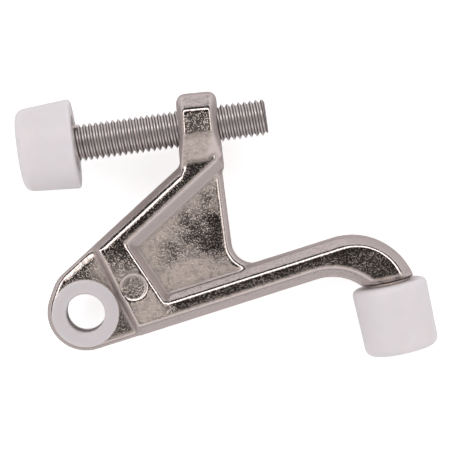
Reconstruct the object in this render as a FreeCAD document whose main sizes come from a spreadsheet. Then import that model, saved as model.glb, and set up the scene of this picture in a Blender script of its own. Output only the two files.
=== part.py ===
import FreeCAD, Part
import math
import os

import Sketcher

# Hinge pin door stop.
#
# The frame: the origin is on the axis of the hinge pin, midway between the two faces of the eye.
# +Z runs along the hinge pin, +X along the adjusting stud and away from its bumper, and +Y from
# the eye towards the tower that carries the stud. The casting is the same on both sides of z = 0.
# Lengths are in millimetres and angles in degrees.

SIZES = (
    # Hinge-pin eye
    ("pin_bore", 8.4, "bore of the two bushes, for a hinge pin of about 8 mm"),
    ("eye_r", 8.4, "outer radius of the eye"),
    ("plate_half", 2.6, "half the thickness of the eye and of the web"),
    ("eye_facet", 1.0, "width of the sloped edge round the eye"),
    ("shoulder_turn", 28.0, "turn of the outline where the eye meets the diagonal rib"),
    ("shoulder_round", 6.0, "rounding of the outline at that turn"),
    # Raised frame: tie beside the eye, diagonal rib and arm
    ("frame_half", 4.6, "half the thickness of the tie, the rib and the arm"),
    ("side_half", 2.4, "half the height of their upright side walls"),
    ("arm_slope", 9.8, "slope of the arm against the stud"),
    ("arm_width", 7.3, "width of the arm"),
    ("arm_facet", 2.35, "width of the arm's sloped sides"),
    ("rib_slope", 34.6, "slope of the diagonal rib against the stud"),
    ("rib_edge", 9.5, "distance of the rib's outer edge from the hinge pin"),
    ("rib_width", 6.8, "width of the rib at its foot"),
    ("rib_tuck", 2.4, "how far the rib's end reaches into the tower"),
    ("rib_outer_facet", 1.3, "width of the rib's outer slope"),
    ("rib_inner_facet", 2.8, "width of the rib's slope into the pocket"),
    ("tie_lean", 19.3, "lean of the tie against +Y"),
    ("tie_near", 7.9, "distance of the tie's foot from the hinge pin"),
    ("pocket_lean", 25.5, "lean of the pocket's side along the tie against +Y"),
    ("pocket_edge", 17.15, "distance of that side's foot from the hinge pin"),
    ("tie_near_facet", 1.0, "width of the tie's slope towards the eye"),
    ("tie_pocket_facet", 1.6, "width of the tie's slope into the pocket"),
    ("edge_run", 0.3, "how far the narrow bevel along a top edge reaches into the flat"),
    ("edge_drop", 0.25, "how far that bevel reaches down the slope"),
    ("mark_r", 2.95, "radius of the round ejector mark on the tie"),
    ("mark_depth", 0.35, "depth of the ejector mark"),
    ("mark_x", 11.18, "centre of the ejector mark along the stud"),
    ("mark_y", 4.3, "centre of the ejector mark towards the tower"),
    # End of the arm
    ("end_x", 65.97, "middle of the arm's end face along the stud"),
    ("end_drop", 5.18, "middle of the arm's end face below the line of the arm's inner side"),
    ("end_width", 11.3, "width of the arm's end face"),
    ("end_lean", 4.5, "lean of the peg against the tower's direction"),
    ("end_facet", 0.8, "width of the slope round the end face"),
    ("flare_slope", 40.0, "slope of the inner side where the arm opens to its end"),
    ("flare_run", 0.94, "straight run of the inner side above the end face"),
    ("outer_slope", 18.2, "lean of the arm's outer side at its end"),
    ("outer_run", 0.6, "straight run of the outer side above the end face"),
    ("outer_tighten", 1.9, "how much tighter the outer bend is along the flat"),
    ("collar_d", 9.8, "diameter of the collar below the end face"),
    ("collar_t", 0.7, "thickness of the collar"),
    ("peg_d", 8.0, "diameter of the peg in the arm bumper"),
    ("peg_length", 8.5, "length of the peg below the collar"),
    ("peg_chamfer", 0.8, "chamfer at the tip of the peg"),
    # Web
    ("web_lean", 0.7, "lean of the web's right edge"),
    ("web_step", 0.25, "how far that edge lies inside the tower's right edge"),
    ("web_facet", 1.2, "width of the slope along the web's right edge"),
    ("web_fillet", 4.8, "fillet between the web and the arm"),
    ("web_sink", 0.15, "depth to which that fillet runs into the arm"),
    # Tower
    ("stud_y", 36.6, "height of the stud above the hinge pin"),
    ("left_lean", 4.5, "lean of the tower's left edge"),
    ("left_edge", 22.4, "distance of that edge from the hinge pin"),
    ("right_lean", 1.3, "lean of the tower's right edge"),
    ("right_edge", 33.5, "distance of that edge from the hinge pin"),
    ("top_lean", 2.5, "fall of the tower's top towards its right edge"),
    ("tower_top", 7.2, "middle of the tower's top above the stud"),
    ("tower_foot", 1.9, "foot of the tower's front slope below its corner with the rib"),
    ("foot_cut", 4.6, "where that foot ends on the rib, from the rib's outer edge"),
    ("tower_side_half", 3.7, "half the height of the tower's upright walls"),
    ("tower_half", 6.6, "half the thickness of the tower"),
    ("tower_corner", 1.8, "corner radius at the top of the tower"),
    ("tower_bend", 2.4, "bend between the rib and the tower"),
    ("patch_corner", 0.5, "corner radius of the flat on the tower"),
    ("patch_above", 3.8, "top of the flat on the tower above the stud"),
    ("patch_below", 1.3, "foot of the flat on the tower below the stud"),
    ("patch_left", 1.2, "slope between the flat and the tower's left edge"),
    ("patch_right", 1.5, "slope between the flat and the tower's right edge"),
    ("hole_chamfer", 0.6, "countersink of the stud's hole"),
    # Adjusting stud
    ("thread_d", 8.0, "major diameter of the thread"),
    ("thread_pitch", 1.25, "pitch of the thread"),
    ("thread_depth", 0.74, "depth of the thread"),
    ("thread_crest", 0.17, "width of the thread's crest"),
    ("thread_root", 0.2, "width of the thread's root"),
    ("thread_clearance", 0.06, "gap between the stud and its hole, per side"),
    ("stud_end", 44.7, "free end of the stud along the stud's axis"),
    ("stud_chamfer", 0.7, "chamfer at the free end of the stud"),
    ("head_d", 13.0, "diameter of the stud's round head"),
    ("head_t", 2.0, "thickness of the stud's head"),
    # Stud bumper
    ("cap_back", 2.96, "back face of the stud bumper along the stud's axis"),
    ("cap_length", 12.15, "length of the stud bumper"),
    ("cap_back_d", 19.6, "diameter of the stud bumper at its back"),
    ("cap_front_d", 17.8, "diameter of the stud bumper at its front"),
    ("cap_front_round", 2.1, "rounding of the stud bumper's front edge"),
    ("cap_back_round", 0.6, "rounding of the stud bumper's back edge"),
    ("cap_lip", 0.3, "overlap of the lip that holds the head"),
    ("cap_lip_t", 0.6, "thickness of that lip"),
    ("cap_clearance", 0.06, "gap between the head and its socket"),
    # Arm bumper
    ("foot_length", 15.0, "length of the arm bumper"),
    ("foot_top_d", 16.5, "diameter of the arm bumper at the arm"),
    ("foot_end_d", 16.1, "diameter of the arm bumper at its end"),
    ("foot_top_round", 1.3, "rounding of the arm bumper at the arm"),
    ("foot_end_round", 2.0, "rounding of the arm bumper at its end"),
    ("foot_clearance", 0.05, "gap between the peg and its socket"),
    ("foot_tip_gap", 0.5, "room beyond the tip of the peg"),
    # Bushes
    ("flange_margin", 0.1, "flat of the eye left round a bush's flange"),
    ("flange_t", 1.0, "thickness of a bush's flange"),
    ("flange_round", 0.25, "rounding of the flange's outer edge"),
    ("sleeve_wall", 1.3, "wall of a bush's sleeve"),
    ("sleeve_length", 2.0, "length of a bush's sleeve"),
    ("bore_chamfer", 0.3, "chamfer at the mouth of a bush"),
    ("bush_clearance", 0.03, "gap between a bush's sleeve and the eye"),
)

SHEET = "Sizes"
Z_AXIS = FreeCAD.Vector(0, 0, 1)
TOLERANCE = 1e-4


class Size:
    """A number together with the sheet expression that it comes from."""

    def __init__(self, value, text):
        self.value = value
        self.text = text

    def __add__(self, other):
        return Size(self.value + number(other), f"({self.text} + {text_of(other)})")

    def __sub__(self, other):
        return Size(self.value - number(other), f"({self.text} - {text_of(other)})")

    def __mul__(self, other):
        return Size(self.value * number(other), f"({self.text} * {text_of(other)})")

    def __truediv__(self, other):
        return Size(self.value / number(other), f"({self.text} / {text_of(other)})")

    def __neg__(self):
        return Size(-self.value, f"(0 - {self.text})")


def number(size):
    return size.value if isinstance(size, Size) else float(size)


def text_of(size):
    return size.text if isinstance(size, Size) else str(size)


def plain(value):
    return Size(float(value), str(value))


def sine(angle):
    return Size(math.sin(math.radians(angle.value)), f"sin({angle.text} * 1 deg)")


def cosine(angle):
    return Size(math.cos(math.radians(angle.value)), f"cos({angle.text} * 1 deg)")


class Sizes:
    """The driving dimensions as attributes, read back from the document's sheet."""

    def __init__(self, document):
        sheet = document.addObject("Spreadsheet::Sheet", SHEET)
        for row, (alias, value, meaning) in enumerate(SIZES, start=1):
            sheet.set(f"A{row}", meaning)
            sheet.set(f"B{row}", str(value))
            sheet.setAlias(f"B{row}", alias)
        document.recompute()
        for alias, _, _ in SIZES:
            setattr(self, alias, Size(float(sheet.get(alias)), f"{SHEET}.{alias}"))


class Side:
    """One straight side of an outline that runs anticlockwise.

    angle is the side's direction, offset its distance from the hinge pin, positive where the pin
    lies on the outline's inner side. facet is how far the side moves in at the top of a slope.
    bend is the radius of the arc to the next side, and facet_bend that radius at the top.
    """

    def __init__(self, angle, offset, facet=plain(0), bend=None, facet_bend=None):
        self.angle = angle
        self.offset = offset
        self.facet = facet
        self.bend = bend
        self.facet_bend = facet_bend

    def outward(self):
        turn = math.radians(self.angle.value)
        return FreeCAD.Vector(math.sin(turn), -math.cos(turn), 0)


def meeting_point(first, second, shift=0.0):
    """Where two sides meet, after both have been moved outwards by shift."""
    a, b = first.outward(), second.outward()
    c, d = first.offset.value + shift, second.offset.value + shift
    determinant = a.x * b.y - a.y * b.x
    return FreeCAD.Vector((c * b.y - d * a.y) / determinant, (a.x * d - b.x * c) / determinant, 0)


def turns_left(first, second):
    return (second.angle.value - first.angle.value) % 360 < 180


def moved_in(sides, share, run=None):
    """The outline at this share of the way up its slopes, and then in by run."""
    moved = []
    for i, side in enumerate(sides):
        offset = side.offset - side.facet * share
        bend = side.bend
        if bend is not None:
            bend = bend + (side.facet_bend - bend) * share
        if run is not None and side.facet.value:
            offset = offset - run
            if bend is not None:
                convex = turns_left(side, sides[(i + 1) % len(sides)])
                bend = bend - run if convex else bend + run
        moved.append(Side(side.angle, offset, bend=bend))
    return moved


def offset_through(angle, x, y):
    """The offset of a side with this direction through the point (x, y)."""
    return x * sine(angle) - y * cosine(angle)


def crossing_y(first, second):
    """The height at which two sides cross."""
    across = second.offset * sine(first.angle) - first.offset * sine(second.angle)
    return across / sine(second.angle - first.angle)


def bend_with_run(gap, turn, run):
    """The bend that leaves run straight before an end that lies off the other side by gap."""
    return (gap / sine(turn) - run) * (cosine(turn) + 1) / sine(turn)


def leaning_x(offset, lean, y):
    """Where an upright edge that leans towards +X stands at the height y."""
    return (offset + y * sine(lean)) / cosine(lean)


def bind(sketch, constraint, expression):
    index = sketch.addConstraint(constraint)
    sketch.setExpression(f"Constraints[{index}]", expression)


def new_sketch(body, name, role="XY_Plane", lift=None):
    """A sketch on one of the body's own origin planes, raised by lift."""
    sketch = body.newObject("Sketcher::SketchObject", name)
    plane = next(item for item in body.Origin.OriginFeatures if item.Role == role)
    sketch.AttachmentSupport = [(plane, "")]
    sketch.MapMode = "FlatFace"
    if lift is not None:
        sketch.AttachmentOffset = FreeCAD.Placement(Z_AXIS * lift.value, FreeCAD.Rotation())
        sketch.setExpression("AttachmentOffset.Base.z", lift.text)
    return sketch


def draw_outline(sketch, sides):
    """Draws the sides and the arcs between them, each tied to its direction, offset and radius."""
    count = len(sides)
    starts, ends, arcs = [None] * count, [None] * count, [None] * count
    for i, side in enumerate(sides):
        following = sides[(i + 1) % count]
        if side.bend is None:
            corner = meeting_point(side, following)
            ends[i], starts[(i + 1) % count] = corner, corner
            continue
        way = 1 if turns_left(side, following) else -1
        radius = side.bend.value
        centre = meeting_point(side, following, -way * radius)
        ends[i] = centre + side.outward() * (way * radius)
        starts[(i + 1) % count] = centre + following.outward() * (way * radius)
        first, last = (ends[i], starts[(i + 1) % count])[::way]
        angles = [math.atan2(p.y - centre.y, p.x - centre.x) for p in (first, last)]
        arcs[i] = (Part.ArcOfCircle(Part.Circle(centre, Z_AXIS, radius), *angles), way)
    lines = [sketch.addGeometry(Part.LineSegment(a, b), False) for a, b in zip(starts, ends)]
    for i, side in enumerate(sides):
        following = lines[(i + 1) % count]
        if arcs[i] is None:
            sketch.addConstraint(Sketcher.Constraint("Coincident", lines[i], 2, following, 1))
            continue
        arc, way = arcs[i]
        curve = sketch.addGeometry(arc, False)
        near, far = (1, 2)[::way]
        sketch.addConstraint(Sketcher.Constraint("Tangent", lines[i], 2, curve, near))
        sketch.addConstraint(Sketcher.Constraint("Tangent", following, 1, curve, far))
        bind(sketch, Sketcher.Constraint("Radius", curve, side.bend.value), side.bend.text)
    for line, side in zip(lines, sides):
        turn = math.radians(side.angle.value)
        bind(sketch, Sketcher.Constraint("Angle", line, turn), f"{side.angle.text} * 1 deg")
        reach = abs(side.offset.value)
        bind(sketch, Sketcher.Constraint("Distance", -1, 1, line, reach), f"abs({side.offset.text})")


def draw_profile(sketch, points):
    """Draws a closed run of straight lines with both coordinates of each corner tied."""
    corners = [FreeCAD.Vector(x.value, y.value, 0) for x, y in points]
    count = len(points)
    lines = []
    for i in range(count):
        segment = Part.LineSegment(corners[i], corners[(i + 1) % count])
        lines.append(sketch.addGeometry(segment, False))
    for i in range(count):
        sketch.addConstraint(Sketcher.Constraint("Coincident", lines[i], 2, lines[(i + 1) % count], 1))
    for line, (x, y) in zip(lines, points):
        for kind, axis, size in (("DistanceX", -2, x), ("DistanceY", -1, y)):
            if size.text == "0":
                sketch.addConstraint(Sketcher.Constraint("PointOnObject", line, 1, axis))
            else:
                bind(sketch, Sketcher.Constraint(kind, -1, 1, line, 1, size.value), size.text)


def sloped_half(document, name, sides, shoulder, top, s):
    """Upper half of a cast form: upright walls, slopes in to the top and a bevel along its edge."""
    body = document.addObject("PartDesign::Body", name)
    bevel_share = plain(1) - s.edge_drop / (top - shoulder)
    sections = (
        ("middle", None, sides),
        ("shoulder", shoulder, sides),
        ("bevel", top - s.edge_drop, moved_in(sides, bevel_share)),
        ("top", top, moved_in(sides, plain(1), s.edge_run)),
    )
    sketches = []
    for level, lift, outline in sections:
        sketch = new_sketch(body, f"{name}_{level}", lift=lift)
        draw_outline(sketch, outline)
        sketches.append(sketch)
    document.recompute()
    loft = body.newObject("PartDesign::AdditiveLoft", f"{name}_form")
    loft.Profile = sketches[0]
    loft.Sections = sketches[1:]
    loft.Ruled = True
    document.recompute()
    return body


def round_edges(document, body, name, radius, chosen):
    """Rounds the chosen edges of the body's last feature."""
    base = body.Tip
    names = [f"Edge{i}" for i, edge in enumerate(base.Shape.Edges, start=1) if chosen(edge)]
    fillet = body.newObject("PartDesign::Fillet", name)
    fillet.Base = (base, names)
    fillet.Radius = radius.value
    fillet.setExpression("Radius", radius.text)
    document.recompute()
    return fillet


def eye_half(document, s):
    tie_middle = (s.tie_near + s.pocket_edge) / 2
    sides = [
        Side(s.arm_slope, s.eye_r, s.eye_facet),
        Side(s.tie_lean + 90, tie_middle),
        Side(s.rib_slope + 180, s.rib_edge, s.eye_facet,
             bend=s.shoulder_round, facet_bend=s.shoulder_round - s.eye_facet),
        Side(s.rib_slope + 180 + s.shoulder_turn, s.eye_r, s.eye_facet,
             bend=s.eye_r, facet_bend=s.eye_r - s.eye_facet),
    ]
    return sloped_half(document, "eye_half", sides, s.plate_half - s.eye_facet, s.plate_half, s)


def end_middle(s):
    """The middle of the arm's end face."""
    inner_side = (s.end_x * sine(s.arm_slope) - s.eye_r) / cosine(s.arm_slope)
    return s.end_x, inner_side - s.end_drop


def end_corner(s, way):
    """A corner of the arm's end face: way -1 is the inner one, 1 the outer one."""
    x, y = end_middle(s)
    half = s.end_width / 2 * way
    return x + half * cosine(s.end_lean), y + half * sine(s.end_lean)


def left_edge(s):
    return Side(-s.left_lean - 90, -s.left_edge, s.patch_left, s.tower_bend, s.tower_bend + s.patch_left)


def rib_outer(s):
    return Side(s.rib_slope + 180, s.rib_edge, s.rib_outer_facet)


def frame_half(document, s):
    inner_corner = end_corner(s, -1)
    outer_corner = end_corner(s, 1)
    back = s.arm_slope + 180
    back_offset = s.arm_width - s.eye_r
    flare = -s.flare_slope
    flare_gap = offset_through(s.arm_slope, *inner_corner) - s.eye_r
    flare_bend = bend_with_run(flare_gap, s.arm_slope - flare, s.flare_run)
    outer = s.outer_slope + 90
    outer_gap = back_offset - offset_through(back, *outer_corner)
    outer_bend = bend_with_run(outer_gap, back - outer, s.outer_run)
    sides = [
        Side(s.arm_slope, s.eye_r, s.arm_facet, flare_bend, flare_bend + s.arm_facet),
        Side(flare, offset_through(flare, *inner_corner), s.arm_facet),
        Side(s.end_lean, offset_through(s.end_lean, *end_middle(s)), s.end_facet),
        Side(outer, offset_through(outer, *outer_corner), s.arm_facet,
             outer_bend, outer_bend - s.arm_facet - s.outer_tighten),
        Side(back, back_offset, s.arm_facet),
        Side(s.pocket_lean + 90, s.pocket_edge, s.tie_pocket_facet),
        Side(s.rib_slope, s.rib_width - s.rib_edge, s.rib_inner_facet),
        Side(-s.right_lean + 90, s.right_edge, s.patch_right),
        Side(s.rib_slope + 180, s.rib_edge + s.rib_tuck),
        left_edge(s),
        rib_outer(s),
        Side(s.tie_lean + 270, -s.tie_near, s.tie_near_facet),
    ]
    return sloped_half(document, "frame_half", sides, s.side_half, s.frame_half, s)


def web_half(document, s):
    inside_rib = s.rib_edge - s.rib_outer_facet
    tie_middle = (s.tie_near + s.pocket_edge) / 2
    web_edge = s.right_edge - s.web_step
    fillet_reach = web_edge + s.web_fillet * 2
    sides = [
        Side(s.arm_slope, s.eye_r - s.arm_width / 2),
        Side(s.arm_slope + 90, fillet_reach),
        Side(s.arm_slope + 180, s.arm_width - s.eye_r - s.web_sink, s.web_facet,
             s.web_fillet, s.web_fillet + s.web_facet),
        Side(-s.web_lean + 90, web_edge, s.web_facet),
        Side(s.rib_slope + 180, inside_rib),
        Side(s.tie_lean + 270, -tie_middle),
    ]
    return sloped_half(document, "web_half", sides, s.plate_half - s.web_facet, s.plate_half, s)


def tower_half(document, s):
    foot = crossing_y(left_edge(s), rib_outer(s)) - s.tower_foot
    cut_base = s.foot_cut - s.rib_edge
    patch_foot = s.stud_y - s.patch_below
    patch_edge = leaning_x(s.right_edge - s.patch_right, s.right_lean, patch_foot)
    cut_top = offset_through(s.rib_slope, patch_edge - s.patch_corner, patch_foot)
    top_angle = -s.top_lean + 180
    left = leaning_x(s.left_edge, s.left_lean, s.stud_y)
    right = leaning_x(s.right_edge, s.right_lean, s.stud_y)
    top_offset = offset_through(top_angle, (left + right) / 2, s.stud_y + s.tower_top)
    sides = [
        Side(plain(0), -foot, patch_foot - foot),
        Side(s.rib_slope, cut_base, cut_base - cut_top),
        Side(-s.right_lean + 90, s.right_edge, s.patch_right, s.tower_corner, s.patch_corner),
        Side(top_angle, top_offset, s.tower_top - s.patch_above,
             s.tower_corner, s.patch_corner),
        Side(-s.left_lean - 90, -s.left_edge, s.patch_left),
    ]
    return sloped_half(document, "tower_half", sides, s.tower_side_half, s.tower_half, s)


def turned(document, name, points, axis):
    """A body turned about its own X or Y axis from a profile in its XY plane."""
    body = document.addObject("PartDesign::Body", name)
    sketch = new_sketch(body, f"{name}_profile")
    draw_profile(sketch, points)
    document.recompute()
    form = body.newObject("PartDesign::Revolution", f"{name}_form")
    form.Profile = sketch
    form.ReferenceAxis = (sketch, [axis])
    form.Angle = 360
    document.recompute()
    return body


def place(body, x=None, y=None, turn=None):
    """Sets the body's Placement from sheet expressions: a shift in X and Y and a turn about Z."""
    spin = FreeCAD.Rotation(Z_AXIS, turn.value if turn else 0)
    base = FreeCAD.Vector(x.value if x else 0, y.value if y else 0, 0)
    body.Placement = FreeCAD.Placement(base, spin)
    for path, size, unit in (("Base.x", x, "mm"), ("Base.y", y, "mm"), ("Rotation.Angle", turn, "deg")):
        if size is not None:
            body.setExpression(f"Placement.{path}", f"{size.text} * 1 {unit}")


def is_circle(edge, radius):
    return isinstance(edge.Curve, Part.Circle) and abs(edge.Curve.Radius - radius.value) < TOLERANCE


def peg(document, s):
    """Collar and peg at the end of the arm, turned about the body's own Y axis."""
    zero = plain(0)
    root = s.frame_half
    tip = -(s.collar_t + s.peg_length)
    points = [
        (zero, root),
        (s.peg_d / 2, root),
        (s.peg_d / 2, zero),
        (s.collar_d / 2, zero),
        (s.collar_d / 2, -s.collar_t),
        (s.peg_d / 2, -s.collar_t),
        (s.peg_d / 2, tip + s.peg_chamfer),
        (s.peg_d / 2 - s.peg_chamfer, tip),
        (zero, tip),
    ]
    body = turned(document, "peg", points, "V_Axis")
    place(body, *end_middle(s), s.end_lean)
    return body


def stud_hole(document, s):
    """The hole through the tower with a countersink at each side, as a tool to cut with."""
    zero = plain(0)
    left = leaning_x(s.left_edge, s.left_lean, s.stud_y)
    right = leaning_x(s.right_edge, s.right_lean, s.stud_y)
    hole_r = s.thread_d / 2 + s.thread_clearance
    mouth_r = hole_r + s.hole_chamfer * 2
    points = [
        (left - s.hole_chamfer, zero),
        (right + s.hole_chamfer, zero),
        (right + s.hole_chamfer, mouth_r),
        (right - s.hole_chamfer, hole_r),
        (left + s.hole_chamfer, hole_r),
        (left - s.hole_chamfer, mouth_r),
    ]
    body = turned(document, "stud_hole", points, "H_Axis")
    place(body, y=s.stud_y)
    return body


def round_cut(document, name, low_r, high_r, floor, height, x, y):
    """A tapered round tool about the Z direction."""
    tool = document.addObject("Part::Cone", name)
    for path, size in (("Radius1", low_r), ("Radius2", high_r), ("Height", height)):
        setattr(tool, path, size.value)
        tool.setExpression(path, size.text)
    tool.Placement = FreeCAD.Placement(FreeCAD.Vector(x.value, y.value, floor.value), FreeCAD.Rotation())
    for path, size in (("x", x), ("y", y), ("z", floor)):
        tool.setExpression(f"Placement.Base.{path}", f"{size.text} * 1 mm")
    return tool


def eye_hole(document, s):
    tool = document.addObject("Part::Cylinder", "eye_hole")
    radius = s.pin_bore / 2 + s.sleeve_wall + s.bush_clearance
    height = s.plate_half * 4
    tool.Radius = radius.value
    tool.setExpression("Radius", radius.text)
    tool.Height = height.value
    tool.setExpression("Height", height.text)
    tool.Placement = FreeCAD.Placement(Z_AXIS * (-height.value / 2), FreeCAD.Rotation())
    tool.setExpression("Placement.Base.z", f"0 mm - {height.text} / 2 * 1 mm")
    return tool


def cast_body(document, s):
    halves = document.addObject("Part::MultiFuse", "upper_casting")
    halves.Shapes = [build(document, s) for build in (eye_half, frame_half, web_half, tower_half)]
    mirrored = document.addObject("Part::Mirroring", "lower_casting")
    mirrored.Source = halves
    mirrored.Normal = Z_AXIS
    whole = document.addObject("Part::MultiFuse", "whole_casting")
    whole.Shapes = [halves, mirrored, peg(document, s)]
    whole.Refine = True
    mark_floor = s.frame_half - s.mark_depth
    mark = round_cut(document, "ejector_mark", s.mark_r - s.mark_depth, s.mark_r + s.mark_depth,
                     mark_floor, s.mark_depth * 2, s.mark_x, s.mark_y)
    tools = document.addObject("Part::MultiFuse", "casting_cuts")
    tools.Shapes = [eye_hole(document, s), stud_hole(document, s), mark]
    casting = document.addObject("Part::Cut", "cast_body")
    casting.Base = whole
    casting.Tool = tools
    document.recompute()
    return casting


def bush(document, name, s, turn):
    """Flanged bush, seated on the eye's upper face; turned about X it sits on the lower one."""
    bore_r = s.pin_bore / 2
    face = s.plate_half + s.flange_t
    tip = s.plate_half - s.sleeve_length
    sleeve_r = bore_r + s.sleeve_wall
    flange_r = s.eye_r - s.eye_facet - s.flange_margin
    points = [
        (bore_r, tip),
        (sleeve_r, tip),
        (sleeve_r, s.plate_half),
        (flange_r, s.plate_half),
        (flange_r, face),
        (bore_r + s.bore_chamfer, face),
        (bore_r, face - s.bore_chamfer),
    ]
    body = document.addObject("PartDesign::Body", name)
    sketch = new_sketch(body, f"{name}_profile", role="XZ_Plane")
    draw_profile(sketch, points)
    document.recompute()
    form = body.newObject("PartDesign::Revolution", f"{name}_form")
    form.Profile = sketch
    form.ReferenceAxis = (sketch, ["V_Axis"])
    form.Angle = 360
    document.recompute()
    round_edges(document, body, f"{name}_round", s.flange_round,
                lambda e: is_circle(e, flange_r) and e.Curve.Center.z > face.value - TOLERANCE)
    body.Placement = FreeCAD.Placement(FreeCAD.Vector(), FreeCAD.Rotation(FreeCAD.Vector(1, 0, 0), turn))
    return body


def adjusting_stud(document, s):
    """The stud about its own X axis, from the front of its head to its free end."""
    zero = plain(0)
    head_back = s.cap_back - s.cap_lip_t - s.cap_clearance
    head_front = head_back - s.head_t
    length = s.stud_end - head_front
    thread_r = s.thread_d / 2
    points = [
        (zero, zero),
        (length, zero),
        (length, thread_r - s.stud_chamfer),
        (length - s.stud_chamfer, thread_r),
        (s.head_t, thread_r),
        (s.head_t, s.head_d / 2),
        (zero, s.head_d / 2),
    ]
    body = turned(document, "adjusting_stud", points, "H_Axis")
    sketch = new_sketch(body, "thread_groove")
    over = s.thread_clearance
    mouth = (s.thread_pitch - s.thread_crest) / 2
    root = s.thread_root / 2
    widening = (mouth - root) / s.thread_depth * over
    start = length + s.thread_pitch
    points = [
        (start - root, thread_r - s.thread_depth),
        (start + root, thread_r - s.thread_depth),
        (start + mouth + widening, thread_r + over),
        (start - mouth - widening, thread_r + over),
    ]
    draw_profile(sketch, points)
    document.recompute()
    groove = body.newObject("PartDesign::SubtractiveHelix", "thread")
    groove.Profile = sketch
    groove.ReferenceAxis = (sketch, ["H_Axis"])
    groove.Mode = "pitch-height-angle"
    thread_length = length - s.head_t
    groove.Pitch = s.thread_pitch.value
    groove.setExpression("Pitch", s.thread_pitch.text)
    groove.Height = thread_length.value
    groove.setExpression("Height", thread_length.text)
    groove.Reversed = True
    document.recompute()
    place(body, head_front, s.stud_y)
    return body


def stud_bumper(document, s):
    """Tapered cap over the stud's head, about its own X axis with its back face at zero."""
    zero = plain(0)
    socket_r = s.head_d / 2 + s.cap_clearance
    floor = -(s.cap_lip_t + s.head_t + s.cap_clearance * 2)
    points = [
        (-s.cap_length, zero),
        (floor, zero),
        (floor, socket_r),
        (-s.cap_lip_t, socket_r),
        (-s.cap_lip_t, s.head_d / 2 - s.cap_lip),
        (zero, s.head_d / 2 - s.cap_lip),
        (zero, s.cap_back_d / 2),
        (-s.cap_length, s.cap_front_d / 2),
    ]
    body = turned(document, "stud_bumper", points, "H_Axis")
    round_edges(document, body, "cap_front_rounding", s.cap_front_round,
                lambda e: is_circle(e, s.cap_front_d / 2))
    round_edges(document, body, "cap_back_rounding", s.cap_back_round,
                lambda e: is_circle(e, s.cap_back_d / 2))
    place(body, s.cap_back, s.stud_y)
    return body


def arm_bumper(document, s):
    """Cap on the peg, about its own Y axis with the arm's end face at zero."""
    zero = plain(0)
    top = -s.collar_t
    end = top - s.foot_length
    socket_r = s.peg_d / 2 + s.foot_clearance
    socket_end = top - s.peg_length - s.foot_tip_gap
    points = [
        (zero, end),
        (s.foot_end_d / 2, end),
        (s.foot_top_d / 2, top),
        (socket_r, top),
        (socket_r, socket_end),
        (zero, socket_end),
    ]
    body = turned(document, "arm_bumper", points, "V_Axis")
    round_edges(document, body, "foot_end_rounding", s.foot_end_round,
                lambda e: is_circle(e, s.foot_end_d / 2))
    round_edges(document, body, "foot_top_rounding", s.foot_top_round,
                lambda e: is_circle(e, s.foot_top_d / 2))
    place(body, *end_middle(s), s.end_lean)
    return body


def check(document, parts):
    """Stops unless every object was worked out and every sub-part is one sound solid."""
    failed = [item.Name for item in document.Objects if {"Invalid", "Error"} & set(item.State)]
    if failed:
        raise RuntimeError(f"not worked out: {', '.join(failed)}")
    for item in parts:
        shape = item.Shape
        if shape.isNull() or not shape.isValid() or len(shape.Solids) != 1:
            raise RuntimeError(f"{item.Label} is not one valid solid")


def main():
    document = FreeCAD.newDocument("hinge_pin_door_stop")
    s = Sizes(document)
    parts = [
        cast_body(document, s),
        bush(document, "upper_bush", s, 0),
        bush(document, "lower_bush", s, 180),
        adjusting_stud(document, s),
        stud_bumper(document, s),
        arm_bumper(document, s),
    ]
    document.recompute()
    check(document, parts)
    os.makedirs("parts", exist_ok=True)
    for item in parts:
        box = item.Shape.BoundBox
        print(f"{item.Label}: volume {item.Shape.Volume:.1f} mm3, "
              f"x {box.XMin:.2f} to {box.XMax:.2f}, y {box.YMin:.2f} to {box.YMax:.2f}, "
              f"z {box.ZMin:.2f} to {box.ZMax:.2f}")
        item.Shape.exportStep(f"parts/{item.Label}.step")


main()
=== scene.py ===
import math

import bpy
from mathutils import Euler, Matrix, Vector


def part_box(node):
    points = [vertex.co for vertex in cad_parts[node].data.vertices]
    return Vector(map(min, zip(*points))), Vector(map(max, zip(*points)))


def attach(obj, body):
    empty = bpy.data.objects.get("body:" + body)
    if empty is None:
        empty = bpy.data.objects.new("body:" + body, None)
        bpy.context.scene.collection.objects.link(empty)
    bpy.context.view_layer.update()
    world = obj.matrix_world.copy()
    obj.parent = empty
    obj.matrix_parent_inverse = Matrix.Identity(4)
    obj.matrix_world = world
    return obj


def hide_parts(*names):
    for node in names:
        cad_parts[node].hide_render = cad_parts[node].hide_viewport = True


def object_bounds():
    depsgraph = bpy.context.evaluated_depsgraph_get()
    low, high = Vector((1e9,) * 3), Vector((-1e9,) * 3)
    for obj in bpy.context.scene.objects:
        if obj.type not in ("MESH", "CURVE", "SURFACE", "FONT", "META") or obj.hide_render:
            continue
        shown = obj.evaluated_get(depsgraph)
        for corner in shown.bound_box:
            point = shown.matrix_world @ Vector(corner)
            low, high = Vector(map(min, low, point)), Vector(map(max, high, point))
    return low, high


bl_info = {
    "name": "Hinge pin door stop",
    "version": (1, 0, 0),
    "blender": (4, 5, 0),
    "location": "View3D > Sidebar > Door stop",
    "description": "Finishes the casting, the stud and the plastic pieces, and sets the stage",
    "category": "Object",
}

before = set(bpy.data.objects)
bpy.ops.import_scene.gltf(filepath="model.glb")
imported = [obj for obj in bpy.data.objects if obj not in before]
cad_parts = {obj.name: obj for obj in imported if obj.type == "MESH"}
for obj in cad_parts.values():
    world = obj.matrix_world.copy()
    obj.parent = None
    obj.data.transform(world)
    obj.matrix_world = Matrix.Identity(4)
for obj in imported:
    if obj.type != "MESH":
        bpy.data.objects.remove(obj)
CAD_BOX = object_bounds()
MM = 0.001
STUD_Y = sum(corner.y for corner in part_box("adjusting_stud")) / 2
BUSH_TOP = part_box("upper_bush")[1].z

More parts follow.
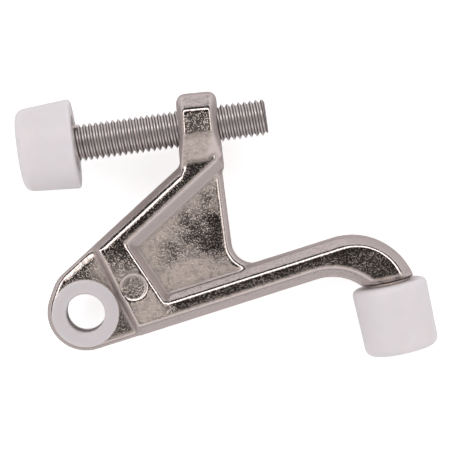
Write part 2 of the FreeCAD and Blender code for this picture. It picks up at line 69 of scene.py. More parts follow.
# Heights over the casting's middle plane: the web with the eye and the pocket, the raised flats,
# and the patch on the tower.
WEB_LEVEL = 2.6 * MM
FLAT_LEVEL = 4.6 * MM
PATCH_LEVEL = 6.6 * MM


class CastingSettings(bpy.types.PropertyGroup):
    """Sizes and colours of the plated casting."""

    skin_step: bpy.props.FloatProperty(
        name="Skin step", description="Spacing of the points on the casting's skin",
        default=0.27 * MM, min=0.2 * MM, max=1.0 * MM, unit="LENGTH")
    edge_softness: bpy.props.IntProperty(
        name="Edge softness", description="Rounds of smoothing that soften the cast edges",
        default=3, min=0, max=20)
    rib_slope: bpy.props.FloatProperty(
        name="Rib slope", description="Slope of the diagonal rib against the stud",
        default=math.radians(34.6), subtype="ANGLE")
    rib_edge: bpy.props.FloatProperty(
        name="Rib edge", description="Distance of the rib's outer edge from the hinge pin",
        default=9.5 * MM, min=1.0 * MM, max=30.0 * MM, unit="LENGTH")
    rib_facet: bpy.props.FloatProperty(
        name="Rib facet", description="Width of the rib's outer slope",
        default=1.3 * MM, min=0.1 * MM, max=5.0 * MM, unit="LENGTH")
    rib_bevel: bpy.props.FloatProperty(
        name="Rib bevel", description="Width of the shallow bevel along the rib's outer edge",
        default=1.1 * MM, min=0.1 * MM, max=2.0 * MM, unit="LENGTH")
    bevel_drop: bpy.props.FloatProperty(
        name="Bevel drop", description="Drop of that bevel at the edge",
        default=0.42 * MM, min=0.0, max=1.0 * MM, unit="LENGTH")
    eye_bevel: bpy.props.FloatProperty(
        name="Eye bevel", description="Width of the bevel that goes on along the eye",
        default=0.5 * MM, min=0.1 * MM, max=2.0 * MM, unit="LENGTH")
    eye_drop: bpy.props.FloatProperty(
        name="Eye drop", description="Drop of that bevel at the edge",
        default=0.22 * MM, min=0.0, max=1.0 * MM, unit="LENGTH")
    end_lean: bpy.props.FloatProperty(
        name="End lean", description="Lean of the arm's end face",
        default=math.radians(4.5), subtype="ANGLE")
    end_face: bpy.props.FloatProperty(
        name="End face", description="Distance of the arm's end face from the hinge pin",
        default=7.478 * MM, min=1.0 * MM, max=30.0 * MM, unit="LENGTH")
    end_fill: bpy.props.FloatProperty(
        name="End fill", description="Height by which the slope at the arm's end is filled up",
        default=0.5 * MM, min=0.0, max=1.0 * MM, unit="LENGTH")
    waviness: bpy.props.FloatProperty(
        name="Waviness", description="Height of the slow waves in the cast skin",
        default=0.03 * MM, min=0.0, max=0.2 * MM, unit="LENGTH")
    wave_size: bpy.props.FloatProperty(
        name="Wave size", description="Size of those waves",
        default=3.0 * MM, min=0.5 * MM, max=20.0 * MM, unit="LENGTH")
    grain: bpy.props.FloatProperty(
        name="Grain", description="Size of the cast grain",
        default=0.32 * MM, min=0.05 * MM, max=3.0 * MM, unit="LENGTH")
    nickel: bpy.props.StringProperty(
        name="Nickel", description="Colour of the bright plating, as sRGB hex", default="E0D1C7")
    # This colour is a darker copy of the plating: painted shade on the slopes and walls.
    slope: bpy.props.StringProperty(
        name="Slopes", description="Colour of the plating on the slopes and walls, as sRGB hex",
        default="C4B9B6")
    # This colour is real stains on the flats and painted shade in the inner corners.
    stain_and_corner_shade: bpy.props.StringProperty(
        name="Stains and corner shade",
        description="Colour of the plating in stains and inner corners, as sRGB hex",
        default="A89D99")
    # This colour is painted shade: a dark line in the corner between the arm's end and its collar.
    crease_shade: bpy.props.StringProperty(
        name="Crease shade",
        description="Colour of the grime in the corner above the collar, as sRGB hex",
        default="4A4340")


class StudSettings(bpy.types.PropertyGroup):
    """Sizes and colours of the threaded stud."""

    thread_r: bpy.props.FloatProperty(
        name="Thread radius", description="Radius over the thread's crests",
        default=4.0 * MM, min=1.0 * MM, max=10.0 * MM, unit="LENGTH")
    thread_depth: bpy.props.FloatProperty(
        name="Thread depth", description="Depth of the thread",
        default=0.74 * MM, min=0.1 * MM, max=2.0 * MM, unit="LENGTH")
    steel: bpy.props.StringProperty(
        name="Steel", description="Colour of the thread's crests, as sRGB hex", default="EAE2E0")
    # This colour is painted shade and reflection on the thread's flanks.
    flank_shade: bpy.props.StringProperty(
        name="Flank shade",
        description="Colour of the thread's flanks, dulled by painted shade, as sRGB hex",
        default="625C5F")


class PlasticSettings(bpy.types.PropertyGroup):
    """Size of the bore and colours of the plastic pieces."""

    bore_r: bpy.props.FloatProperty(
        name="Bore radius", description="Radius of the bushes' bore",
        default=4.2 * MM, min=1.0 * MM, max=20.0 * MM, unit="LENGTH")
    bumper: bpy.props.StringProperty(
        name="Bumpers", description="Colour of the two bumpers, as sRGB hex", default="EDE8EA")
    bush: bpy.props.StringProperty(
        name="Bushes", description="Colour of the two bushes, as sRGB hex", default="E0D8D9")
    # This colour is painted shade on the wall deep in the bore.
    bore_shade: bpy.props.StringProperty(
        name="Bore shade", description="Colour of the greased wall of the bore, as sRGB hex",
        default="6B6362")


class StageSettings(bpy.types.PropertyGroup):
    """The floor, the light tent and the camera."""

    floor: bpy.props.StringProperty(
        name="Floor", description="Colour of the floor, as sRGB hex", default="F4F3F3")
    floor_half: bpy.props.FloatProperty(
        name="Floor size", description="Half the width of the floor", default=3.0, unit="LENGTH")
    cloth: bpy.props.StringProperty(
        name="Tent", description="Colour of the tent's white cloth, as sRGB hex", default="FFFDFE")
    opening: bpy.props.FloatProperty(
        name="Opening", description="Lean of the tent's opening from the camera towards the tower",
        default=math.radians(5.0), subtype="ANGLE")
    distance: bpy.props.FloatProperty(
        name="Distance", description="Distance of the camera", default=0.5, unit="LENGTH")
    lens: bpy.props.FloatProperty(
        name="Lens", description="Focal length of the camera", default=183.6, unit="CAMERA")
    aim: bpy.props.FloatVectorProperty(
        name="Aim", description="Point in the middle of the picture", subtype="TRANSLATION",
        default=(0.03252, 0.01441, -0.00164))
    turn: bpy.props.FloatVectorProperty(
        name="Turn", description="Turn of the camera", subtype="EULER",
        default=tuple(math.radians(a) for a in (-5.02, -0.03, -7.99)))


class DoorStopSettings(bpy.types.PropertyGroup):
    """All settings of the door stop."""

    casting: bpy.props.PointerProperty(
        name="Casting", description="Settings of the casting", type=CastingSettings)
    stud: bpy.props.PointerProperty(
        name="Stud", description="Settings of the stud", type=StudSettings)
    plastic: bpy.props.PointerProperty(
        name="Plastic", description="Settings of the bumpers and bushes", type=PlasticSettings)
    stage: bpy.props.PointerProperty(
        name="Stage", description="Settings of the stage", type=StageSettings)


def linear(code):
    """An sRGB hex colour as linear RGBA."""
    parts = [int(code[i:i + 2], 16) / 255 for i in (0, 2, 4)]
    return [c / 12.92 if c <= 0.04045 else ((c + 0.055) / 1.055) ** 2.4 for c in parts] + [1.0]


def spaced(size):
    """The scale of a pattern whose marks are this far apart."""
    return 1 / size


def add_node(tree, kind, settings=None, **inputs):
    """Adds a node, sets it up, and sets or links its inputs, named or numbered as _0, _1."""
    node = tree.nodes.new(kind)
    for name, value in (settings or {}).items():
        setattr(node, name, value)
    for name, value in inputs.items():
        key = int(name[1:]) if name[0] == "_" else name.replace("__", " ")
        if isinstance(value, bpy.types.NodeSocket):
            tree.links.new(value, node.inputs[key])
        else:
            node.inputs[key].default_value = value
    return node


def new_material(name):
    material = bpy.data.materials.new(name)
    material.use_nodes = True
    material.node_tree.nodes.clear()
    return material, material.node_tree


def finish_material(tree, shader):
    add_node(tree, "ShaderNodeOutputMaterial", Surface=shader.outputs[0])


def dress(node, material):
    """Gives a CAD node's object this material alone."""
    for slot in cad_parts[node].material_slots:
        slot.material = material


# The places in the pocket that are polished darkest: each one's middle in mm, the distances from it
# at which the polish begins and is full, also in mm, and how much it then adds.
POCKET_PLACES = (
    ((31.3, 17.3), 10.5, 3.0, 0.24),
    ((24.2, 13.4), 6.8, 1.0, 0.15),
)
POCKET_RIM = -0.2


def pocket_polish(tree, place, patches):
    """Polish of the pocket's floor: ragged darker places inside a rim that kept its grain."""
    wander = add_node(tree, "ShaderNodeTexNoise", Vector=place, Scale=spaced(4.0 * MM), Detail=2.0)
    ragged = add_node(tree, "ShaderNodeVectorMath", {"operation": "MULTIPLY_ADD"},
                      _0=wander.outputs["Color"], _1=(6.0 * MM, 6.0 * MM, 0.0),
                      _2=place).outputs[0]
    polish = POCKET_RIM
    for (x, y), begins, full, gain in POCKET_PLACES:
        away = add_node(tree, "ShaderNodeVectorMath", {"operation": "DISTANCE"}, _0=ragged,
                        _1=(x * MM, y * MM, WEB_LEVEL)).outputs["Value"]
        here = add_node(tree, "ShaderNodeMapRange", Value=away, From__Min=begins * MM,
                        From__Max=full * MM, To__Min=POCKET_RIM, To__Max=gain).outputs[0]
        polish = add_node(tree, "ShaderNodeMath", {"operation": "MAXIMUM"}, _0=polish,
                          _1=here).outputs[0]
    polish = add_node(tree, "ShaderNodeMath", {"operation": "ADD"}, _0=patches,
                      _1=polish).outputs[0]
    return add_node(tree, "ShaderNodeMapRange", Value=polish, From__Min=0.33,
                    From__Max=0.82).outputs[0]


def eye_polish(tree, place, x):
    """Polish of the eye's face, which is duller in the corner next to the tie."""
    eye = add_node(tree, "ShaderNodeMapRange", Value=x, From__Min=13.0 * MM, From__Max=10.0 * MM,
                   To__Max=0.78).outputs[0]
    away = add_node(tree, "ShaderNodeVectorMath", {"operation": "DISTANCE"}, _0=place,
                    _1=(5.2 * MM, 9.0 * MM, WEB_LEVEL)).outputs["Value"]
    corner = add_node(tree, "ShaderNodeMapRange", Value=away, From__Min=1.4 * MM,
                      From__Max=4.0 * MM, To__Min=0.35).outputs[0]
    return add_node(tree, "ShaderNodeMath", {"operation": "MULTIPLY"}, _0=eye,
                    _1=corner).outputs[0]


def flats_polish(tree, x, y, level, patches):
    """Polish of the raised flats, a little uneven as hand work is."""
    # The foot of the tie between the eye and the pocket is duller than the flats around it.
    above = add_node(tree, "ShaderNodeMapRange", Value=y, From__Min=3.5 * MM,
                     From__Max=13.0 * MM).outputs[0]
    beside = add_node(tree, "ShaderNodeMapRange", Value=x, From__Min=16.0 * MM,
                      From__Max=20.0 * MM).outputs[0]
    polish = add_node(tree, "ShaderNodeMath", {"operation": "MAXIMUM"}, _0=above,
                      _1=beside).outputs[0]
    # The sunk ejector mark is half polished.
    sunk = add_node(tree, "ShaderNodeMapRange", Value=level, From__Min=FLAT_LEVEL - 0.15 * MM,
                    From__Max=FLAT_LEVEL - 0.25 * MM, To__Max=0.56).outputs[0]
    polish = add_node(tree, "ShaderNodeMath", {"operation": "MAXIMUM"}, _0=polish,
                      _1=sunk).outputs[0]
    # The patch on the tower is the coarsest of the flats, all but its foot.
    patch = add_node(tree, "ShaderNodeMapRange", Value=level, From__Min=PATCH_LEVEL - 0.6 * MM,
                     From__Max=PATCH_LEVEL - 0.3 * MM, To__Min=1.0, To__Max=0.62).outputs[0]
    foot = add_node(tree, "ShaderNodeMapRange", Value=y, From__Min=36.6 * MM,
                    From__Max=35.8 * MM).outputs[0]
    patch = add_node(tree, "ShaderNodeMath", {"operation": "MAXIMUM"}, _0=patch,
                     _1=foot).outputs[0]
    polish = add_node(tree, "ShaderNodeMath", {"operation": "MINIMUM"}, _0=polish,
                      _1=patch).outputs[0]
    uneven = add_node(tree, "ShaderNodeMapRange", Value=patches, From__Min=0.36, From__Max=0.6,
                      To__Min=0.86).outputs[0]
    return add_node(tree, "ShaderNodeMath", {"operation": "MULTIPLY"}, _0=polish,
                    _1=uneven).outputs[0]


def arm_end(tree, s, place, x):
    """Where the arm's end with its collar and peg is, and the painted shade in the corner above it.
    """
    past = add_node(tree, "ShaderNodeMapRange", Value=x, From__Min=50.0 * MM,
                    From__Max=51.0 * MM).outputs[0]
    reach = add_node(tree, "ShaderNodeVectorMath", {"operation": "DOT_PRODUCT"}, _0=place,
                     _1=(math.sin(s.end_lean), -math.cos(s.end_lean), 0.0)).outputs["Value"]
    below = add_node(tree, "ShaderNodeMapRange", Value=reach, From__Min=s.end_face - 0.6 * MM,
                     From__Max=s.end_face - 0.4 * MM).outputs[0]
    end = add_node(tree, "ShaderNodeMath", {"operation": "MULTIPLY"}, _0=below,
                   _1=past).outputs[0]
    # A thin line of painted shade in the corner just inside the end face, above the collar.
    off = add_node(tree, "ShaderNodeMath", {"operation": "SUBTRACT"}, _0=reach,
                   _1=s.end_face - 0.05 * MM).outputs[0]
    off = add_node(tree, "ShaderNodeMath", {"operation": "ABSOLUTE"}, _0=off).outputs[0]
    line = add_node(tree, "ShaderNodeMapRange", Value=off, From__Min=0.22 * MM,
                    From__Max=0.08 * MM).outputs[0]
    crease_shade = add_node(tree, "ShaderNodeMath", {"operation": "MINIMUM"}, _0=line,
                     _1=past).outputs[0]
    return end, crease_shade


def cast_relief(tree, s, place):
    """Height of the cast skin: pebbles, drawn as coarse as they need to show, on ripples."""
    grit = add_node(tree, "ShaderNodeTexNoise", Vector=place, Scale=spaced(s.grain),
                    Detail=2.0, Roughness=0.55).outputs[0]
    pebbles = add_node(tree, "ShaderNodeMapRange", {"interpolation_type": "SMOOTHSTEP"},
                       Value=grit, From__Min=0.54, From__Max=0.70).outputs[0]
    ripple = add_node(tree, "ShaderNodeTexNoise", Vector=place, Scale=spaced(1.1 * MM),
                      Detail=1.0).outputs[0]
    return add_node(tree, "ShaderNodeMath", {"operation": "MULTIPLY_ADD"}, _0=ripple, _1=1.4,
                    _2=pebbles).outputs[0]


# Bright nickel on a zinc die casting: a mirror-like coat that follows the pebbled cast skin, so
# that a flat turned to a dark place is dark with light flecks, and a slope is an even light grey.
def plated_nickel(s):
    material, tree = new_material("bright_nickel_on_zinc_casting")
    place = add_node(tree, "ShaderNodeTexCoord").outputs["Object"]
    x, y, z = add_node(tree, "ShaderNodeSeparateXYZ", Vector=place).outputs
    level = add_node(tree, "ShaderNodeMath", {"operation": "ABSOLUTE"}, _0=z).outputs[0]
    front = add_node(tree, "ShaderNodeAttribute", {"attribute_name": "front"}).outputs["Fac"]
    edge = add_node(tree, "ShaderNodeAttribute", {"attribute_name": "edge"}).outputs["Fac"]
    flat = add_node(tree, "ShaderNodeMapRange", Value=front, From__Min=0.88,
                    From__Max=0.98).outputs[0]
    web = add_node(tree, "ShaderNodeMapRange", Value=level, From__Min=WEB_LEVEL + 0.5 * MM,
                   From__Max=WEB_LEVEL + 0.2 * MM).outputs[0]
    patches = add_node(tree, "ShaderNodeTexNoise", Vector=place, Scale=spaced(5.0 * MM),
                       Detail=4.0, Roughness=0.62).outputs[0]
    low = add_node(tree, "ShaderNodeMath", {"operation": "MAXIMUM"},
                   _0=pocket_polish(tree, place, patches), _1=eye_polish(tree, place, x)).outputs[0]
    polish = add_node(tree, "ShaderNodeMix", {"data_type": "FLOAT"}, Factor=web,
                      A=flats_polish(tree, x, y, level, patches), B=low).outputs[0]
    # The outer edges are rubbed bright.
    rubbed = add_node(tree, "ShaderNodeMapRange", Value=edge, From__Min=0.012 * MM,
                      From__Max=0.03 * MM).outputs[0]
    polish = add_node(tree, "ShaderNodeMath", {"operation": "MAXIMUM"}, _0=polish,
                      _1=rubbed).outputs[0]
    flat_rough = add_node(tree, "ShaderNodeMapRange", Value=polish, To__Min=0.47,
                          To__Max=0.10).outputs[0]
    # The slopes are bright, the steeper walls satin.
    side_rough = add_node(tree, "ShaderNodeMapRange", Value=front, From__Min=0.55, From__Max=0.75,
                          To__Min=0.65, To__Max=0.10).outputs[0]
    roughness = add_node(tree, "ShaderNodeMix", {"data_type": "FLOAT"}, Factor=flat,
                         A=side_rough, B=flat_rough).outputs[0]
    # The arm's end is satin, because no polishing wheel reached it.
    end, crease_shade = arm_end(tree, s, place, x)
    roughness = add_node(tree, "ShaderNodeMix", {"data_type": "FLOAT"}, Factor=end,
                         A=roughness, B=0.8).outputs[0]
    # The inner corners are painted darker as shade, and dull where they lie below the flats.
    open_skin = add_node(tree, "ShaderNodeMapRange", Value=edge, From__Min=-0.06 * MM,
                         From__Max=0.0).outputs[0]
    high = add_node(tree, "ShaderNodeMapRange", Value=level, From__Min=FLAT_LEVEL - 0.8 * MM,
                    From__Max=FLAT_LEVEL - 0.5 * MM).outputs[0]
    polished = add_node(tree, "ShaderNodeMath", {"operation": "MAXIMUM"}, _0=open_skin,
                        _1=high).outputs[0]
    roughness = add_node(tree, "ShaderNodeMix", {"data_type": "FLOAT"}, Factor=polished,
                         A=0.5, B=roughness).outputs[0]
    # The flats have small stains.
    stains = add_node(tree, "ShaderNodeTexNoise", Vector=place, Scale=spaced(1.0 * MM),
                      Detail=4.0, Roughness=0.7).outputs[0]
    stains = add_node(tree, "ShaderNodeMapRange", Value=stains, From__Min=0.34, From__Max=0.52,
                      To__Min=0.2).outputs[0]
    # The stains on the flats are real; the darker colour in the inner corners is painted shade.
    unstained_unshaded = add_node(tree, "ShaderNodeMix", {"data_type": "FLOAT"}, Factor=flat, A=1.0,
                     B=stains).outputs[0]
    unstained_unshaded = add_node(tree, "ShaderNodeMath", {"operation": "MULTIPLY"}, _0=unstained_unshaded,
                     _1=open_skin).outputs[0]
    # The slopes and walls get a darker copy of the plating's colour, a painted shade.
    coat = add_node(tree, "ShaderNodeMix", {"data_type": "RGBA"}, Factor=flat,
                    A=linear(s.slope), B=linear(s.nickel)).outputs["Result"]
    coat = add_node(tree, "ShaderNodeMix", {"data_type": "RGBA"}, Factor=unstained_unshaded,
                    A=linear(s.stain_and_corner_shade), B=coat).outputs["Result"]
    # The dark line in the corner above the collar is painted shade.
    coat = add_node(tree, "ShaderNodeMix", {"data_type": "RGBA"}, Factor=crease_shade,
                    A=coat, B=linear(s.crease_shade)).outputs["Result"]
    flat_grain = add_node(tree, "ShaderNodeMapRange", Value=polish, To__Min=0.85,
                          To__Max=0.22).outputs[0]
    grain = add_node(tree, "ShaderNodeMix", {"data_type": "FLOAT"}, Factor=flat, A=0.12,
                     B=flat_grain).outputs[0]
    bump = add_node(tree, "ShaderNodeBump", Strength=grain, Distance=0.065 * MM,
                    Height=cast_relief(tree, s, place))
    shader = add_node(tree, "ShaderNodeBsdfPrincipled", Base__Color=coat, Metallic=1.0,
                      Roughness=roughness, Normal=bump.outputs[0])
    finish_material(tree, shader)
    return material


# Zinc-plated rolled steel: satin, with light crests and roots, and flanks painted darker as painted
# shade and reflection.
def rolled_steel(s):
    material, tree = new_material("zinc_plated_rolled_steel")
    place = add_node(tree, "ShaderNodeTexCoord").outputs["Object"]
    from_axis = add_node(tree, "ShaderNodeVectorMath", {"operation": "SUBTRACT"},
                         _0=place, _1=(0.0, STUD_Y, 0.0)).outputs[0]
    across = add_node(tree, "ShaderNodeVectorMath", {"operation": "MULTIPLY"},
                      _0=from_axis, _1=(0.0, 1.0, 1.0)).outputs[0]
    radius = add_node(tree, "ShaderNodeVectorMath", {"operation": "LENGTH"},
                      _0=across).outputs["Value"]
    off = add_node(tree, "ShaderNodeMath", {"operation": "SUBTRACT"}, _0=radius,
                   _1=s.thread_r - 0.5 * s.thread_depth).outputs[0]
    off = add_node(tree, "ShaderNodeMath", {"operation": "ABSOLUTE"}, _0=off).outputs[0]
    # The flanks get a darker colour, a painted shade and reflection; the crests and roots keep the
    # light steel colour.
    light = add_node(tree, "ShaderNodeMapRange", Value=off, From__Min=0.05 * s.thread_depth,
                     From__Max=0.42 * s.thread_depth).outputs[0]
    coat = add_node(tree, "ShaderNodeMix", {"data_type": "RGBA"}, Factor=light,
                    A=linear(s.flank_shade), B=linear(s.steel)).outputs["Result"]
    smears = add_node(tree, "ShaderNodeTexNoise", Vector=place, Scale=spaced(0.8 * MM),
                      Detail=3.0, Roughness=0.6).outputs[0]
    roughness = add_node(tree, "ShaderNodeMapRange", Value=smears, From__Min=0.3, From__Max=0.7,
                         To__Min=0.34, To__Max=0.48).outputs[0]
    bump = add_node(tree, "ShaderNodeBump", Strength=0.3, Distance=0.02 * MM, Height=smears)
    shader = add_node(tree, "ShaderNodeBsdfPrincipled", Base__Color=coat, Metallic=1.0,
                      Roughness=roughness, Normal=bump.outputs[0])
    finish_material(tree, shader)
    return material


# Moulded off-white plastic: light goes a little way in, the skin is satin with a faint mottle. The
# skin's own grain is drawn coarser than it is, so that it shows.
def moulded_plastic(name, code, roughness, bore=None):
    material, tree = new_material(name)
    place = add_node(tree, "ShaderNodeTexCoord").outputs["Object"]
    mottle = add_node(tree, "ShaderNodeTexNoise", Vector=place, Scale=spaced(2.5 * MM),
                      Detail=2.0, Roughness=0.5).outputs[0]
    skin = add_node(tree, "ShaderNodeTexNoise", Vector=place, Scale=spaced(0.5 * MM),
                    Detail=2.0, Roughness=0.5).outputs[0]
    plain = linear(code)[:3]
    colour = add_node(tree, "ShaderNodeMix", {"data_type": "RGBA"}, Factor=mottle,
                      A=[c * 0.97 for c in plain] + [1.0],
                      B=[min(c * 1.02, 1.0) for c in plain] + [1.0]).outputs["Result"]
    if bore:
        # The wall of the bore is painted grey as shade, most of all away from its mouth.
        bore_r, mouth, bore_shade = bore
        across = add_node(tree, "ShaderNodeVectorMath", {"operation": "MULTIPLY"}, _0=place,
                          _1=(1.0, 1.0, 0.0)).outputs[0]
        radius = add_node(tree, "ShaderNodeVectorMath", {"operation": "LENGTH"},
                          _0=across).outputs["Value"]
        wall = add_node(tree, "ShaderNodeMapRange", Value=radius, From__Min=bore_r + 0.3 * MM,
                        From__Max=bore_r + 0.05 * MM).outputs[0]
        z = add_node(tree, "ShaderNodeSeparateXYZ", Vector=place).outputs["Z"]
        deep = add_node(tree, "ShaderNodeMath", {"operation": "ABSOLUTE"}, _0=z).outputs[0]
        deep = add_node(tree, "ShaderNodeMapRange", Value=deep, From__Min=0.95 * mouth,
                        From__Max=0.25 * mouth).outputs[0]
        shade_painted = add_node(tree, "ShaderNodeMath", {"operation": "MULTIPLY"}, _0=wall,
                           _1=deep).outputs[0]
        colour = add_node(tree, "ShaderNodeMix", {"data_type": "RGBA"}, Factor=shade_painted,
                          A=colour, B=linear(bore_shade)).outputs["Result"]
    bump = add_node(tree, "ShaderNodeBump", Strength=0.15, Distance=0.01 * MM, Height=skin)
    shader = add_node(tree, "ShaderNodeBsdfPrincipled", Base__Color=colour,
                      Roughness=roughness, IOR=1.5, Subsurface__Weight=0.5,
                      Subsurface__Radius=(1.0, 0.8, 0.7), Subsurface__Scale=3.0 * MM,
                      Normal=bump.outputs[0])
    finish_material(tree, shader)
    return material


def edge_bevel_tree():
    """Geometry nodes that sink the edge of a flat along a straight line, at the front and back."""
    tree = bpy.data.node_groups.new("edge_bevel", "GeometryNodeTree")
    sockets = tree.interface
    sockets.new_socket("Skin", in_out="INPUT", socket_type="NodeSocketGeometry")
    sockets.new_socket("Outward", in_out="INPUT", socket_type="NodeSocketVector")
    for size in ("Edge", "Facet", "Width", "Drop", "Start", "End", "Foot", "Top"):
        sockets.new_socket(size, in_out="INPUT", socket_type="NodeSocketFloat")
    sockets.new_socket("Skin", in_out="OUTPUT", socket_type="NodeSocketGeometry")
    given = add_node(tree, "NodeGroupInput").outputs
    place = add_node(tree, "GeometryNodeInputPosition").outputs[0]
    # Deepest at the edge of the flat, nothing at the bevel's far side and the foot of the facet.
    out = add_node(tree, "ShaderNodeVectorMath", {"operation": "DOT_PRODUCT"}, _0=place,
                   _1=given["Outward"]).outputs["Value"]
    off = add_node(tree, "ShaderNodeMath", {"operation": "SUBTRACT"}, _0=given["Edge"],
                   _1=out).outputs[0]
    far = add_node(tree, "ShaderNodeMath", {"operation": "ADD"}, _0=given["Facet"],
                   _1=given["Width"]).outputs[0]
    inner = add_node(tree, "ShaderNodeMapRange", Value=off, From__Min=far,
                     From__Max=given["Facet"]).outputs[0]
    outer = add_node(tree, "ShaderNodeMapRange", Value=off, From__Max=given["Facet"]).outputs[0]
    # From its start to its end along the edge, with a run-out of a millimetre at each.
    along = add_node(tree, "ShaderNodeVectorMath", {"operation": "CROSS_PRODUCT"},
                     _0=given["Outward"], _1=(0.0, 0.0, 1.0)).outputs[0]
    run = add_node(tree, "ShaderNodeVectorMath", {"operation": "DOT_PRODUCT"}, _0=place,
                   _1=along).outputs["Value"]
    begun = add_node(tree, "ShaderNodeMath", {"operation": "SUBTRACT"}, _0=run,
                     _1=given["Start"]).outputs[0]
    begun = add_node(tree, "ShaderNodeMapRange", Value=begun, From__Max=1.0 * MM).outputs[0]
    ended = add_node(tree, "ShaderNodeMath", {"operation": "SUBTRACT"}, _0=given["End"],
                     _1=run).outputs[0]
    ended = add_node(tree, "ShaderNodeMapRange", Value=ended, From__Max=1.0 * MM).outputs[0]
    # Full at the height of the flat, nothing at its foot.
    height = add_node(tree, "ShaderNodeSeparateXYZ", Vector=place).outputs["Z"]
    raised = add_node(tree, "ShaderNodeMath", {"operation": "ABSOLUTE"}, _0=height).outputs[0]
    raised = add_node(tree, "ShaderNodeMapRange", Value=raised, From__Min=given["Foot"],
                      From__Max=given["Top"]).outputs[0]
    drop = add_node(tree, "ShaderNodeMath", {"operation": "SIGN"}, _0=height).outputs[0]
    for part in (given["Drop"], inner, outer, begun, ended, raised):
        drop = add_node(tree, "ShaderNodeMath", {"operation": "MULTIPLY"}, _0=drop,
                        _1=part).outputs[0]
    down = add_node(tree, "ShaderNodeVectorMath", {"operation": "SCALE"}, _0=(0.0, 0.0, -1.0),
                    Scale=drop)
    sunk = add_node(tree, "GeometryNodeSetPosition", Geometry=given["Skin"],
                    Offset=down.outputs[0])
    add_node(tree, "NodeGroupOutput", Skin=sunk.outputs[0])
    return tree


def cast_skin_tree(bevels):
    """Geometry nodes that bevel and soften a skin's edges and give it a casting's slow waves."""
    tree = bpy.data.node_groups.new("cast_skin", "GeometryNodeTree")
    sockets = tree.interface
    sockets.new_socket("Skin", in_out="INPUT", socket_type="NodeSocketGeometry")
    sockets.new_socket("Softness", in_out="INPUT", socket_type="NodeSocketInt")
    sockets.new_socket("Wave height", in_out="INPUT", socket_type="NodeSocketFloat")
    sockets.new_socket("Wave scale", in_out="INPUT", socket_type="NodeSocketFloat")
    sockets.new_socket("Material", in_out="INPUT", socket_type="NodeSocketMaterial")
    sockets.new_socket("Skin", in_out="OUTPUT", socket_type="NodeSocketGeometry")
    given = add_node(tree, "NodeGroupInput").outputs
    edge_bevel = edge_bevel_tree()
    bevelled = given["Skin"]
    for sizes in bevels:
        bevelled = add_node(tree, "GeometryNodeGroup", {"node_tree": edge_bevel}, Skin=bevelled,
                            **sizes).outputs[0]
    place = add_node(tree, "GeometryNodeInputPosition").outputs[0]
    soft = add_node(tree, "GeometryNodeBlurAttribute", {"data_type": "FLOAT_VECTOR"},
                    Value=place, Iterations=given["Softness"])
    softened = add_node(tree, "GeometryNodeSetPosition", Geometry=bevelled,
                        Position=soft.outputs[0])
    wave = add_node(tree, "ShaderNodeTexNoise", Scale=given["Wave scale"], Detail=1.0).outputs[0]
    swing = add_node(tree, "ShaderNodeMath", {"operation": "SUBTRACT"}, _0=wave, _1=0.5).outputs[0]
    rise = add_node(tree, "ShaderNodeMath", {"operation": "MULTIPLY"}, _0=swing,
                    _1=given["Wave height"]).outputs[0]
    outward = add_node(tree, "GeometryNodeInputNormal").outputs[0]
    shift = add_node(tree, "ShaderNodeVectorMath", {"operation": "SCALE"}, _0=outward, Scale=rise)
    waved = add_node(tree, "GeometryNodeSetPosition", Geometry=softened.outputs[0],
                     Offset=shift.outputs[0])
    # For the plating: how far the skin faces the front or back, and how far it stands out over
    # the skin around it, which is above zero on outer edges and below zero in inner corners.
    tilt = add_node(tree, "ShaderNodeSeparateXYZ", Vector=outward).outputs["Z"]
    front = add_node(tree, "ShaderNodeMath", {"operation": "ABSOLUTE"}, _0=tilt)
    faced = add_node(tree, "GeometryNodeStoreNamedAttribute", {"domain": "POINT"},
                     Geometry=waved.outputs[0], Name="front", Value=front.outputs[0])
    around = add_node(tree, "GeometryNodeBlurAttribute", {"data_type": "FLOAT_VECTOR"},
                      Value=place, Iterations=6)
    over = add_node(tree, "ShaderNodeVectorMath", {"operation": "SUBTRACT"}, _0=place,
                    _1=around.outputs[0])
    edge = add_node(tree, "ShaderNodeVectorMath", {"operation": "DOT_PRODUCT"},
                    _0=over.outputs[0], _1=outward)
    edged = add_node(tree, "GeometryNodeStoreNamedAttribute", {"domain": "POINT"},
                     Geometry=faced.outputs[0], Name="edge", Value=edge.outputs["Value"])
    smooth = add_node(tree, "GeometryNodeSetShadeSmooth", Geometry=edged.outputs[0])
    real = add_node(tree, "GeometryNodeRealizeInstances", Geometry=smooth.outputs[0])
    coated = add_node(tree, "GeometryNodeSetMaterial", Geometry=real.outputs[0],
                      Material=given["Material"])
    add_node(tree, "NodeGroupOutput", Skin=coated.outputs[0])
    return tree


def modifier_inputs(modifier, **values):
    """Sets a node modifier's inputs by their identifiers, found from their names."""
    for item in modifier.node_group.interface.items_tree:
        key = item.name.lower().replace(" ", "_")
        if item.in_out == "INPUT" and key in values:
            modifier[item.identifier] = values[key]


